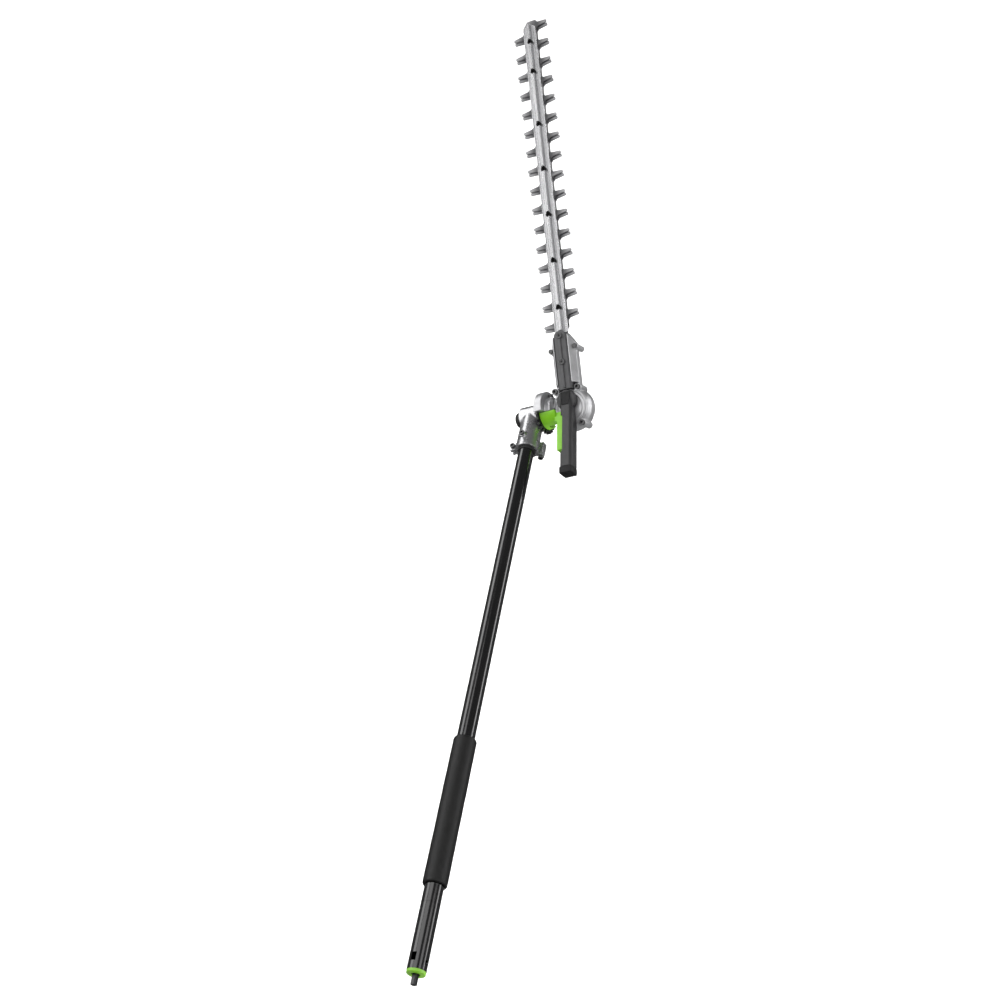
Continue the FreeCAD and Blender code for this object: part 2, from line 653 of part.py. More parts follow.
def make_head_casting():
    """The crankcase drum, its neck and the knuckle that turns on the pivot sleeve."""
    top = S.drum_top
    drum = fuse(rod(S.drum_radius, "Z", (S.drum_floor, SHOULDER_LOW)), drum_shoulder(top - 3))
    neck = box((20, S.neck_end), (-S.neck_half, S.neck_half), (S.neck_bottom, SLIDE_FACE))
    neck = cut(neck, *neck_corners())
    core = rod(S.core_radius, "Y", (CORE_START, RING_FACE - 0.4), (0, 0))
    shell = rod(S.barrel_radius, "Y", (CORE_START, S.knuckle_far + 1), (0, 0))
    shell = common(shell, box((-2, 60), (0, 60), (-40, 40)))
    hood = rod(S.knuckle_radius, "Y", (S.knuckle_far, S.knuckle_near), (0, 0))
    hood = common(hood, box((-2, 60), (0, 80), (-50, 50)))
    bosses = [rod(5.6, "Z", (S.drum_floor, top - 3), spot_xy) for spot_xy in BOSS_SPOTS]
    lugs = [rod(4.6, "Z", (S.neck_bottom - 9, SLIDE_FACE), spot_xy) for spot_xy in LUG_SPOTS]
    bolt_pad = rod(3.8, "X", (12, 23.4), KNUCKLE_BOLT)
    solid = fuse(drum, neck, core, shell, hood, bolt_pad, *bosses, *lugs)
    cavity = rod(S.drum_radius - S.drum_wall, "Z", (-14.6, top + 1))
    bearing = rod(8.0, "Z", (S.drum_floor + 1.5, -10))
    channel = box((20, S.neck_end + 1), (-14.5, 14.5), (-3.2, 9))
    pivot_bore = rod(S.sleeve_bore / 2 + 0.05, "Y", (29, S.knuckle_near + 1), (0, 0))
    ring_room = rod(S.ring_radius + 1.0, "Y", (RING_FACE - 0.4, S.knuckle_near + 1), (0, 0))
    gear_window = rod(6.6, "Y", (20, 33), (0, 0))
    holes = [rod(2.6, "Z", (S.drum_floor - 1, top), spot_xy) for spot_xy in BOSS_SPOTS]
    holes += [rod(2.1, "Z", (S.neck_bottom - 10, 3), spot_xy) for spot_xy in LUG_SPOTS]
    bolt_seat = rod(3.0, "X", (18.5, 24), KNUCKLE_BOLT)
    solid = cut(solid, cavity, bearing, channel, pivot_bore, ring_room, gear_window, bolt_seat,
                *holes)
    keep("head_casting", HEAD, solid)


def make_head_cover():
    """The lid of the drum and the dark cover of the neck."""
    top = S.drum_top
    lid = cut(drum_shoulder(top), box((-40, 40), (-40, 40), (SHOULDER_LOW - 1, top - 3)))
    ears = [rod(5.6, "Z", (top - 3, top), spot_xy) for spot_xy in BOSS_SPOTS]
    step = rod(S.drum_radius - S.drum_wall - 0.1, "Z", (top - 4.5, top - 3))
    lid = cut(fuse(lid, step, *ears),
              box((24, 60), (-S.cover_half, S.cover_half), (top - 6, top + 1)),
              rod(6.6, "Y", (10, 34), (0, 0)), rod(S.core_radius + 0.05, "Y", (CORE_START, 40), (0, 0)),
              common(rod(S.barrel_radius + 0.05, "Y", (CORE_START, 40), (0, 0)),
                     box((-2.1, 60), (0, 60), (-40, 40))),
              *[rod(2.6, "Z", (0, top + 1), spot_xy) for spot_xy in BOSS_SPOTS])
    keep("drum_lid", HEAD, lid)
    low = SLIDE_FACE
    high = S.neck_top + S.cover_height
    half = S.cover_half
    body = box((27.5, S.neck_end - 10), (-half, half), (low, high))
    round_end = rod(half, "Z", (low, high), (S.neck_end - 10, 0))
    room = box((20, S.neck_end + 4), (-10.5, 10.5), (low - 1, 6.6))
    slopes = []
    for side in (1, -1):
        bevel = box((20, 140), (0, 20), (0, 20))
        slopes.append(turned(Placement(Vector(0, side * (half.value - 2.6), high.value),
                                       Rotation(Vector(1, 0, 0), -45 if side > 0 else 135)), bevel))
    rib = box((30, S.neck_end - 7), (-1.6, 1.6), (high - 1, high + 2.2))
    pads = [rod(4.8, "Z", (high - 4, high + 3.2), (along, 0)) for along in PAD_STATIONS]
    holes = [rod(2.2, "Z", (low - 1, high + 4), (along, 0)) for along in PAD_STATIONS]
    sinks = [rod(3.2, "Z", (high + 0.4, high + 4), (along, 0)) for along in PAD_STATIONS]
    drum_face = rod(S.drum_radius + 0.05, "Z", (0, S.drum_top + 0.02))
    cover = cut(fuse(cut(fuse(body, round_end), *slopes), rib, *pads), room, drum_face,
                *holes, *sinks)
    keep("neck_cover", HEAD, cover)
    screws = [cut(fuse(rod(2.1, "Z", (high - 4.5, high + 0.4), (along, 0)),
                       rod(3.1, "Z", (high + 0.4, high + 2.4), (along, 0))),
                  rod(1.5, "Z", (high + 1.2, high + 3), (along, 0))) for along in PAD_STATIONS]
    keep("cover_screws", HEAD, *screws)
    outer = S.neck_half.value
    walls = []
    for side in (1, -1):
        low_y, high_y = sorted((side * (half.value + 0.05), side * outer))
        wall = box((37, S.neck_end), (low_y, high_y), (low, high - 0.6))
        slope = box((20, 140), (-20 if side < 0 else 0, 0 if side < 0 else 20), (-5, 30))
        walls.append(cut(wall, turned(Placement(Vector(0, side * outer, low.value),
                                                Rotation(Vector(1, 0, 0), side * 33.2)), slope)))
    lugs = [rod(4.6, "Z", (low, S.neck_top - 2), spot_xy) for spot_xy in LUG_SPOTS]
    upper = cut(fuse(*walls, *lugs), *neck_corners(), body_copy(half, low),
                rod(S.drum_radius, "Z", (low - 1, top + 1)),
                *[rod(2.1, "Z", (low - 1, S.neck_top), spot_xy) for spot_xy in LUG_SPOTS],
                *[rod(3.7, "Z", (S.neck_top - 2, high), spot_xy) for spot_xy in LUG_SPOTS])
    keep("neck_rails", HEAD, upper)
    side_screws = [fuse(rod(2.05, "Z", (-8, S.neck_top - 2), spot_xy),
                        rod(3.6, "Z", (S.neck_top - 2, S.neck_top + 1), spot_xy))
                   for spot_xy in LUG_SPOTS]
    keep("side_screws", HEAD, *side_screws)
    bolts = []
    for spot_xy in BOSS_SPOTS:
        shank = rod(2.55, "Z", (S.drum_floor, top), spot_xy)
        head = rod(4.4, "Z", (top, top + 4), spot_xy)
        bolts.append(cut(fuse(shank, head), rod(2.0, "Z", (top + 1.6, top + 5), spot_xy)))
    keep("drum_bolts", HEAD, *bolts)
    nipple = fuse(rod(2.6, "Z", (S.drum_floor - 3.5, S.drum_floor), (-12, 0)),
                  rod(1.7, "Z", (S.drum_floor - 6.5, S.drum_floor - 3.5), (-12, 0)))
    keep("grease_nipple", HEAD, nipple)


def body_copy(half, low):
    """The space that the neck cover fills, for cutting its neighbours."""
    return box((20, S.neck_end + 1), (-half - 0.05, half + 0.05), (low - 1, 20))


BUSH_SPAN = (31.0, 42.0)


def make_knuckle_fittings():
    bush = tube(S.core_radius - 2.0, S.sleeve_bore / 2 + 0.06, "Y", BUSH_SPAN, (0, 0))
    keep("pivot_bush", HEAD, bush)
    case = NODES["head_casting"]
    case.Links = [cut(case.Links[0], rod(S.core_radius - 2.0, "Y", BUSH_SPAN, (0, 0)))]
    bolt = fuse(rod(3.0, "X", (18.5, 23.5), KNUCKLE_BOLT), rod(3.8, "X", (23.5, 28), KNUCKLE_BOLT))
    keep("knuckle_bolt", HEAD, cut(bolt, rod(2.3, "X", (25.5, 29), KNUCKLE_BOLT)))


# ---------------------------------------------------------------- handle and trigger
def make_handle():
    """The handle on the drum: hollow for the release lever, with an inset panel and an end cap."""
    half = S.handle_half
    front = S.handle_front
    back = front - S.handle_deep
    cap_length = 11
    panel_half = 6.9
    panel_deep = 1.4
    grip = box((-6, S.handle_length), (-half, half), (back, front))
    edges = []
    for side in (1, -1):
        tool = box((-30, 150), (0, 12), (0, 12))
        edges.append(turned(Placement(Vector(0, side * (half.value - 3.2), front.value),
                                      Rotation(Vector(1, 0, 0), -45 if side > 0 else 135)), tool))
    room_start, room_end = LEVER_SPAN[0] - 6, LEVER_SPAN[1] + 6
    room = ((room_start, room_end), (-half - 12, 5.5), (back + 3.5, front - 2.6))
    lever_slot = box((LEVER_SPAN[0] + 8, LEVER_SPAN[1] + 4), (-half - 1, -5.6), (back - 1, front + 1))
    grip = turned(IN_HEAD, cut(grip, *edges, lever_slot))
    foot = rod(16, "Z", (S.drum_top, 15), (10, 0))
    arch = box((-30, 16), (-half, half), (S.drum_top, 13))
    panel_seat = box((-3, 9), (-panel_half - 0.1, panel_half + 0.1), (front - panel_deep, front + 10))
    body = cut(fuse(grip, foot, arch), box((-150, 60), (-30, 30), (-40, S.drum_top)),
               turned(IN_HEAD, box(*room), panel_seat))
    keep("handle_body", HEAD, body)
    cap = box((S.handle_length, S.handle_length + cap_length), (-half - 0.4, half + 0.4),
              (back - 0.2, front + 0.4))
    keep("handle_end_cap", HANDLE, cap)
    keep("handle_panel", HANDLE, box((-2.9, 8.9), (-panel_half, panel_half),
                                     (front - panel_deep, front - 0.4)))


def make_trigger():
    """The green release: a half sleeve round the barrel and the lever beside the handle."""
    near = RING_FACE - 0.4
    outer = 24.0
    inner = S.core_radius + CLEAR
    side_near, side_far = -4.5, -16.0
    face = S.handle_front - 3.2
    back = S.handle_front - S.handle_deep
    drum_clear = S.drum_radius + S.trigger_travel + 0.8
    below = common(tube(outer, inner, "Y", (drum_clear, near), (0, 0)),
                   box((-40, -2.6), (0, 80), (-40, 40)))
    behind = common(tube(outer, inner, "Y", (drum_clear - 4, near), (0, 0)),
                    box((-40, -17), (0, 80), (-40, 40)))
    bridge = common(tube(outer, inner, "Y", (17.2, near), (0, 0)),
                    box((-40, -2.6), (0, 80), (8.4, 40)))
    lever = box(LEVER_SPAN, (side_far, side_near), (back + 6, face))
    root = box((LEVER_SPAN[0], LEVER_SPAN[0] + 15), (-20, side_near), (back + 8, face))
    lever = cut(turned(IN_HEAD, fuse(lever, root)),
                box((-38, 40), (-30, 60), (-40, S.drum_top + 0.6)))
    keep("release_trigger", HEAD, cut(fuse(below, behind, bridge, lever),
                                      rod(inner, "Y", (0, 60), (0, 0))))


BUILDERS = (make_shaft, make_gear_case, make_detent, make_drive, make_cross_shaft, make_crank,
            make_blade_bar, make_head_casting, make_head_cover, make_knuckle_fittings, make_handle,
            make_trigger)
for builder in BUILDERS:
    builder()
make_blade("upper_blade", S.blade_gap / 2, S.blade_offset.value)
make_blade("lower_blade", -S.blade_thick - S.blade_gap / 2, -S.blade_offset.value)
doc.recompute()

for thing in doc.Objects:
    bad = [word for word in thing.State if word in ("Invalid", "Error")]
    if bad:
        raise RuntimeError(f"{thing.Name} ({thing.Label}) did not build: {bad}")
os.makedirs("parts", exist_ok=True)
for name, node in NODES.items():
    shape = node.Shape
    if shape.isNull() or not shape.isValid() or not shape.Solids:
        raise RuntimeError(f"{name} has no valid solid")
    shape.exportStep(f"parts/{name}.step")
    print(f"{name:18s} solids {len(shape.Solids):3d}  volume {shape.Volume / 1000:9.2f} cm3")
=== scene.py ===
"""Looks of the long-reach hedge trimmer attachment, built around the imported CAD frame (metres)."""
import json
import math

import bmesh
import bpy
from mathutils import Matrix, Vector


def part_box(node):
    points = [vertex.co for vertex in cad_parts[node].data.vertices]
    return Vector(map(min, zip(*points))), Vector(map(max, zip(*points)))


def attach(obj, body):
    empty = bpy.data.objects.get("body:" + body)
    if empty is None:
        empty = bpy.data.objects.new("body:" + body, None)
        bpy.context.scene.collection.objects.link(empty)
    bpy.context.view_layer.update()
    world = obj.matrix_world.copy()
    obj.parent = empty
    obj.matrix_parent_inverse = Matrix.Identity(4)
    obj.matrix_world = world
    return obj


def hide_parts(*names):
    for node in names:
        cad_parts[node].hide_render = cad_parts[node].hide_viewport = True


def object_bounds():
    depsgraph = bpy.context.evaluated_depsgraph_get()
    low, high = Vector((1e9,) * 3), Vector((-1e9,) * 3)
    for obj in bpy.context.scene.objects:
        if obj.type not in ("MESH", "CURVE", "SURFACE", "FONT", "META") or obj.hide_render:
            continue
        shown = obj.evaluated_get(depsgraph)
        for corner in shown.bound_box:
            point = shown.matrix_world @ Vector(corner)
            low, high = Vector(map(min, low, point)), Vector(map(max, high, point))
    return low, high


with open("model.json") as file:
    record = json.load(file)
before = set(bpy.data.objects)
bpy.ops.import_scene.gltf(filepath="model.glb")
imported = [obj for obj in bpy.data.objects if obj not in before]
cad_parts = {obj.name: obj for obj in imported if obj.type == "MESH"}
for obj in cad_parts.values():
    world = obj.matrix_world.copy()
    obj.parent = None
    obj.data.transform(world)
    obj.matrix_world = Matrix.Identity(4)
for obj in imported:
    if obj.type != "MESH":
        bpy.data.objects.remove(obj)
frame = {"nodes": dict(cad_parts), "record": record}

cad_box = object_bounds()

# ---------------------------------------------------------------- frames and sizes (mm unless said)
MM = 0.001
JOINTS = {joint["name"]: joint for joint in frame["record"]["behaviour"]["joints"]}
SLOT = {part["node"]: part["material_slot"] for part in frame["record"]["subparts"]}

# The head's frame has its origin on the crank: along the blades, across them, and up from them.
ALONG = Vector(JOINTS["upper_blade_slide"]["axis"]).normalized()
UP = Vector(JOINTS["crank_spin"]["axis"]).normalized()
SIDE = UP.cross(ALONG).normalized()
CRANK = Vector(JOINTS["crank_spin"]["pos_m"])
HEAD = Matrix((
    (ALONG.x, SIDE.x, UP.x, CRANK.x),
    (ALONG.y, SIDE.y, UP.y, CRANK.y),
    (ALONG.z, SIDE.z, UP.z, CRANK.z),
    (0, 0, 0, 1)))

# The handle's frame starts at its root and runs back along it.
HANDLE_ALONG, HANDLE_UP = 18, 9
LEAN = math.radians(13)
HANDLE = HEAD @ Matrix((
    (-math.cos(LEAN), 0, math.sin(LEAN), HANDLE_ALONG * MM),
    (0, -1, 0, 0),
    (math.sin(LEAN), 0, math.cos(LEAN), HANDLE_UP * MM),
    (0, 0, 0, 1)))

# The fold axis crosses the tube's middle plane here; the hub ends at HUB_END under the plug.
HEAD_PIVOT = Vector(JOINTS["cross_spin"]["pos_m"])
HEAD_PIVOT.y = 0
HUB_END = 16.5

FOAM_BORE, FOAM_RADIUS = 12.05, 15.45
BAR_START, BAR_END = 120.5, 650.0
BAR_HALF, RIB_HALF = 11.3, 2.9
FIRST_SCREW, SCREW_PITCH = 161.0, 77.6
BAR_SCREWS = [FIRST_SCREW + SCREW_PITCH * step for step in range(5)] + [564.0, 617.0]
POCKET_RADIUS = 4.6
TIP_CHOP, TIP_ANGLE = 7, math.radians(52)
TRIGGER_BACK = -2.6


# ---------------------------------------------------------------- materials
LOOKS = {}
NOISE_LOW, NOISE_HIGH = 0.3, 0.7
GRAIN_HEIGHT = 0.0004
COAT_ROUGHNESS = 0.08
BRUSHED = ((0.0, -math.asin(ALONG.z), 0.0), (40.0, 1.0, 1.0))


def new_material(name):
    material = bpy.data.materials.new(name)
    material.use_nodes = True
    tree = material.node_tree
    return material, tree, tree.nodes["Principled BSDF"]


def noise(tree, scale, detail, rough, stretch):
    """A noise texture in object space; stretch is the turn and scale of that space, or None."""
    coords = tree.nodes.new("ShaderNodeTexCoord")
    texture = tree.nodes.new("ShaderNodeTexNoise")
    texture.inputs["Scale"].default_value = scale
    texture.inputs["Detail"].default_value = detail
    texture.inputs["Roughness"].default_value = rough
    source = coords.outputs["Object"]
    if stretch:
        mapping = tree.nodes.new("ShaderNodeMapping")
        mapping.vector_type = "TEXTURE"
        mapping.inputs["Rotation"].default_value = stretch[0]
        mapping.inputs["Scale"].default_value = stretch[1]
        tree.links.new(source, mapping.inputs["Vector"])
        source = mapping.outputs["Vector"]
    tree.links.new(source, texture.inputs["Vector"])
    return texture.outputs["Fac"]


def ramp(tree, value, low, high):
    """A colour ramp between two stops, each of them (place, colour)."""
    node = tree.nodes.new("ShaderNodeValToRGB")
    for element, (place, colour) in zip(node.color_ramp.elements, (low, high)):
        element.position = place
        element.color = (*colour, 1)
    tree.links.new(value, node.inputs["Fac"])
    return node.outputs["Color"]


def spread(tree, value, low, high):
    """Spreads a noise over the values from low to high."""
    node = tree.nodes.new("ShaderNodeMapRange")
    node.inputs["From Min"].default_value = NOISE_LOW
    node.inputs["From Max"].default_value = NOISE_HIGH
    node.inputs["To Min"].default_value = low
    node.inputs["To Max"].default_value = high
    tree.links.new(value, node.inputs["Value"])
    return node.outputs["Result"]


def bump(tree, shader, value, strength):
    node = tree.nodes.new("ShaderNodeBump")
    node.inputs["Strength"].default_value = strength
    node.inputs["Distance"].default_value = GRAIN_HEIGHT
    tree.links.new(value, node.inputs["Height"])
    tree.links.new(node.outputs["Normal"], shader.inputs["Normal"])


def mixed(tree, mask, colour, other):
    """The colour, turned into the other one as far as the mask is bright."""
    mix = tree.nodes.new("ShaderNodeMix")
    mix.data_type = "RGBA"
    tree.links.new(mask, mix.inputs["Factor"])
    tree.links.new(colour, mix.inputs["A"])
    mix.inputs["B"].default_value = (*other, 1)
    return mix.outputs["Result"]


def painted_edge_highlight(tree, colour, edge_highlight):
    """Lightens sharp outer edges by half: a painted highlight standing for the light that rims and
    ridges catch.
    """
    geometry = tree.nodes.new("ShaderNodeNewGeometry")
    mask = ramp(tree, geometry.outputs["Pointiness"], (0.52, (0, 0, 0)), (0.62, (0.5, 0.5, 0.5)))
    return mixed(tree, mask, colour, edge_highlight)


def ground_faces(tree, colour, bright):
    """Lightens faces that aren't level with the blades: the ground bevels and the cut sides."""
    coords = tree.nodes.new("ShaderNodeTexCoord")
    dot = tree.nodes.new("ShaderNodeVectorMath")
    dot.operation = "DOT_PRODUCT"
    dot.inputs[1].default_value = UP
    tree.links.new(coords.outputs["Normal"], dot.inputs[0])
    size = tree.nodes.new("ShaderNodeMath")
    size.operation = "ABSOLUTE"
    tree.links.new(dot.outputs["Value"], size.inputs[0])
    mask = ramp(tree, size.outputs["Value"], (0.85, (1, 1, 1)), (0.97, (0, 0, 0)))
    return mixed(tree, mask, colour, bright)


def finish(name, dark, light, rough, metal=0.0, grain=900.0, grain_depth=0.15, patches=35.0,
           coat=0.0, edge_highlight=None, stretch=None, specular=0.5, ground=None):
    """A look with patchy colour, uneven gloss, fine grain, an optional painted highlight on sharp edges
    and optional ground faces.
    """
    material, tree, shader = new_material(name)
    patch = noise(tree, patches, detail=5.0, rough=0.6, stretch=stretch)
    colour = ramp(tree, patch, (NOISE_LOW, dark), (NOISE_HIGH, light))
    if ground:
        colour = ground_faces(tree, colour, ground)
    # Painted highlight: sharp edges are lightened towards the given colour, as if catching the light.
    if edge_highlight:
        colour = painted_edge_highlight(tree, colour, edge_highlight)
    tree.links.new(colour, shader.inputs["Base Color"])
    tree.links.new(spread(tree, patch, *rough), shader.inputs["Roughness"])
    shader.inputs["Metallic"].default_value = metal
    shader.inputs["Specular IOR Level"].default_value = specular
    if coat:
        shader.inputs["Coat Weight"].default_value = coat
        shader.inputs["Coat Roughness"].default_value = COAT_ROUGHNESS
    fine = noise(tree, grain, detail=3.0, rough=0.7, stretch=stretch)
    bump(tree, shader, fine, grain_depth)
    LOOKS[name] = material


# The colour a look is given for its sharp edges is a painted highlight on them.
finish("tube_black", (0.003, 0.003, 0.0035), (0.005, 0.005, 0.0055), (0.15, 0.22),
       grain=1400, grain_depth=0.04, patches=14, coat=0.4)
finish("foam", (0.005, 0.005, 0.005), (0.009, 0.009, 0.009), (0.40, 0.50),
       grain=2200, grain_depth=0.6, patches=160, specular=0.3)
finish("green", (0.20, 0.55, 0.012), (0.25, 0.62, 0.02), (0.30, 0.42),
       grain=1800, grain_depth=0.12, patches=25, edge_highlight=(0.42, 0.8, 0.16))
finish("cast_light", (0.40, 0.40, 0.41), (0.52, 0.52, 0.53), (0.30, 0.42), metal=0.7,
       grain=1500, grain_depth=0.25, patches=60, edge_highlight=(0.85, 0.85, 0.86))
finish("cast_bright", (0.40, 0.40, 0.41), (0.48, 0.48, 0.49), (0.24, 0.32), metal=0.92,
       grain=1500, grain_depth=0.25, patches=60, edge_highlight=(0.85, 0.85, 0.86))
finish("cast_dark", (0.055, 0.055, 0.057), (0.085, 0.085, 0.088), (0.34, 0.46), metal=0.35,
       grain=1500, grain_depth=0.3, patches=60, edge_highlight=(0.4, 0.4, 0.41))
finish("bar_alloy", (0.40, 0.40, 0.41), (0.50, 0.50, 0.51), (0.22, 0.30), metal=0.8,
       grain=1500, grain_depth=0.12, patches=500, stretch=BRUSHED, edge_highlight=(0.9, 0.9, 0.9))
finish("blade_steel", (0.06, 0.06, 0.062), (0.095, 0.095, 0.098), (0.32, 0.44), metal=0.8,
       grain=1500, grain_depth=0.2, patches=300, stretch=BRUSHED, ground=(0.24, 0.24, 0.245),
       edge_highlight=(0.5, 0.5, 0.51))
finish("gear_steel", (0.30, 0.30, 0.31), (0.42, 0.42, 0.43), (0.25, 0.4), metal=0.95, patches=80)
finish("black_steel", (0.008, 0.008, 0.009), (0.02, 0.02, 0.021), (0.25, 0.4), metal=0.3,
       patches=200, edge_highlight=(0.2, 0.2, 0.2))
finish("bright_steel", (0.48, 0.48, 0.49), (0.62, 0.62, 0.63), (0.2, 0.34), metal=0.95,
       patches=120)
finish("brass", (0.62, 0.45, 0.16), (0.72, 0.54, 0.22), (0.25, 0.4), metal=0.95)
finish("black_plastic", (0.014, 0.014, 0.015), (0.024, 0.024, 0.025), (0.36, 0.48),
       grain=2600, grain_depth=0.5, patches=70, edge_highlight=(0.09, 0.09, 0.095))
finish("dark_steel", (0.035, 0.035, 0.036), (0.06, 0.06, 0.062), (0.3, 0.4), metal=0.8,
       patches=150)
# A near-black with little gloss: painted shade, like the dark bottom of a hole.
finish("hole_black", (0.002, 0.002, 0.002), (0.004, 0.004, 0.004), (0.6, 0.75),
       specular=0.15, patches=200)
finish("panel_black", (0.005, 0.005, 0.0055), (0.009, 0.009, 0.0095), (0.55, 0.68),
       grain=2600, grain_depth=0.6, specular=0.3)
finish("black_rubber", (0.01, 0.01, 0.01), (0.018, 0.018, 0.018), (0.6, 0.75),
       grain=1600, grain_depth=0.4)
finish("white_nylon", (0.62, 0.61, 0.57), (0.72, 0.71, 0.67), (0.4, 0.55))
finish("bronze", (0.42, 0.28, 0.13), (0.52, 0.36, 0.18), (0.3, 0.42), metal=0.95)


def dress(piece, look):
    piece.data.materials.clear()
    piece.data.materials.append(LOOKS[look])


# ---------------------------------------------------------------- mesh helpers
def linked(name, data):
    thing = bpy.data.objects.new(name, data)
    bpy.context.scene.collection.objects.link(thing)
    return thing


def built(build, name):
    """Ends a bmesh and gives the new object that has its mesh."""
    mesh = bpy.data.meshes.new(name)
    build.to_mesh(mesh)
    build.free()
    return linked(name, mesh)


def smooth_by_angle(piece, degrees):
    """Smooth shading with the mesh's own sharp edges kept."""
    piece.data.shade_smooth()
    piece.data.set_sharp_from_angle(angle=math.radians(degrees))


def round_edges(piece, width, segments):
    """Merges flat facets and rounds the edges between them, as a modifier stack."""
    flat = piece.modifiers.new("flat", "DECIMATE")
    flat.decimate_type = "DISSOLVE"
    flat.angle_limit = math.radians(0.6)
    bevel = piece.modifiers.new("round", "BEVEL")
    bevel.width = width
    bevel.segments = segments
    bevel.limit_method = "ANGLE"
    bevel.angle_limit = math.radians(30)
    weigh = piece.modifiers.new("weigh", "WEIGHTED_NORMAL")
    weigh.weight = 80


def applied(piece):
    """Bakes a new piece's modifiers into its mesh."""
    graph = bpy.context.evaluated_depsgraph_get()
    mesh = bpy.data.meshes.new_from_object(piece.evaluated_get(graph))
    piece.modifiers.clear()
    piece.data = mesh


def combined(piece, other, operation):
    """Adds or takes away another closed mesh, which is then removed."""
    step = piece.modifiers.new("step", "BOOLEAN")
    step.operation = operation
    step.solver = "EXACT"
    step.object = other
    applied(piece)
    bpy.data.objects.remove(other)


def circle(radius, count):
    """Points (x, y) spaced evenly round a circle."""
    angles = [2 * math.pi * step / count for step in range(count)]
    return [(radius * math.cos(angle), radius * math.sin(angle)) for angle in angles]


def wall(build, rings):
    """Joins each ring of vertices to the next one with four-sided faces."""
    for here, after in zip(rings, rings[1:]):
        for index in range(len(here)):
            follow = (index + 1) % len(here)
            build.faces.new((here[index], here[follow], after[follow], after[index]))


def closed(name, rings):
    """A solid through rings of points, with its two ends filled."""
    build = bmesh.new()
    rings = [[build.verts.new(point) for point in ring] for ring in rings]
    wall(build, rings)
    build.faces.new(list(reversed(rings[0])))
    build.faces.new(rings[-1])
    bmesh.ops.recalc_face_normals(build, faces=build.faces)
    return built(build, name)


def extruded(profile, start, end):
    """A closed prism along the blades; profile holds (across, up) in the head's frame."""
    return closed("prism", [[HEAD @ (Vector((along, across, up)) * MM) for across, up in profile]
                            for along in (start, end)])


def mirrored(half):
    """A whole profile from its half, which runs from the outside to the middle."""
    return half + [(-across, up) for across, up in reversed(half)]


# ---------------------------------------------------------------- castings and mouldings
def bead(build, axis, centre, radius, thick):
    """Adds a raised round bead about a head axis; one about the side axis ends at TRIGGER_BACK."""
    rings = []
    for cosine, sine in circle(1, 120):
        ring = []
        for swell, lift in circle(thick, 10):
            out = radius + swell
            if axis == "up":
                spot = Vector((out * cosine, out * sine, lift))
            else:
                spot = Vector((min(out * cosine, TRIGGER_BACK - centre[0]), lift, out * sine))
            ring.append(build.verts.new(HEAD @ ((Vector(centre) + spot) * MM)))
        rings.append(ring)
    wall(build, rings + rings[:1])


def shorten_hub(piece):
    """Takes the hub's outer end off the gear case, where the rubber plug fits."""
    reach, past_end = 25, 40
    low = HEAD_PIVOT + Vector((-reach, HUB_END, -reach)) * MM
    high = HEAD_PIVOT + Vector((reach, past_end, reach)) * MM
    build = bmesh.new()
    bmesh.ops.create_cube(build, size=1.0)
    for vert in build.verts:
        vert.co = Vector([high[i] if vert.co[i] > 0 else low[i] for i in range(3)])
    combined(piece, built(build, "cutter"), "DIFFERENCE")


# Each skin: name, body, voxel size and number of smoothing passes.
SKINS = {
    "head_casting": ("head_casting_skin", "head", 0.55, 7),
    "drum_lid": ("drum_lid_skin", "head", 0.5, 5),
    "neck_cover": ("neck_cover_skin", "head", 0.5, 6),
    "neck_rails": ("neck_rails_skin", "head", 0.45, 5),
    "gear_case": ("gear_case_skin", "root", 0.5, 12),
    "handle_body": ("handle_skin", "head", 0.6, 12),
    "handle_end_cap": ("handle_cap_skin", "head", 0.5, 40),
    "release_trigger": ("trigger_skin", "trigger", 0.5, 9),
}
SKIN_LOOK = {"gear_case": "cast_bright", "handle_end_cap": "panel_black"}
SKIN_DETAIL = 0.5
# Each bead: axis, centre in the head's frame, radius and thickness.
BEADS = {
    "drum_lid": [("up", (0, 0, 7.0), 27.0, 0.9), ("up", (0, 0, 7.0), 22.5, 0.8)],
    "release_trigger": [("side", (0, 42.4, 0), 23.6, 1.1)],
}


def cast_skin(node, name, body, voxel, passes):
    """A casting grown from its CAD solid: remeshed fine, then relaxed so its corners have fillets."""
    build = bmesh.new()
    build.from_mesh(frame["nodes"][node].data)
    for settings in BEADS.get(node, []):
        bead(build, *settings)
    piece = built(build, name)
    if node == "gear_case":
        shorten_hub(piece)
    grid = piece.modifiers.new("grid", "REMESH")
    grid.mode = "VOXEL"
    grid.voxel_size = voxel * MM
    relax = piece.modifiers.new("relax", "SMOOTH")
    relax.factor = 0.5
    relax.iterations = passes
    fewer = piece.modifiers.new("fewer", "DECIMATE")
    fewer.ratio = SKIN_DETAIL
    applied(piece)
    piece.data.shade_smooth()
    dress(piece, SKIN_LOOK.get(node, SLOT[node]))
    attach(piece, body)
    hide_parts(node)


# ---------------------------------------------------------------- bar, grip, plug and inset
def guide_bar():
    """The extruded bar: flange with raised lips, central rib, and a round pocket at each screw."""
    bar = extruded(mirrored([(BAR_HALF, 2.5), (BAR_HALF, 4.2), (10.9, 4.9), (10.0, 4.9), (9.4, 4.0),
                             (3.6, 4.0), (RIB_HALF, 5.0)]), BAR_START, BAR_END)
    rib = mirrored([(RIB_HALF, 4.6), (RIB_HALF, 9.6), (2.2, 10.3)])
    combined(bar, extruded(rib, BAR_START + 3.5, BAR_END - 3), "UNION")
    floor_up, above_rib = 4.7, 12.0
    for station in BAR_SCREWS:
        pocket = [[HEAD @ (Vector((station + x, y, up)) * MM) for x, y in circle(POCKET_RADIUS, 32)]
                  for up in (floor_up, above_rib)]
        combined(bar, closed("pocket", pocket), "DIFFERENCE")
    for side in (1, -1):
        chop_corner(bar, side)
    bar.name = "guide_bar_profile"
    dress(bar, "bar_alloy")
    round_edges(bar, 0.2 * MM, 2)
    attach(bar, "head")
    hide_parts("guide_bar")


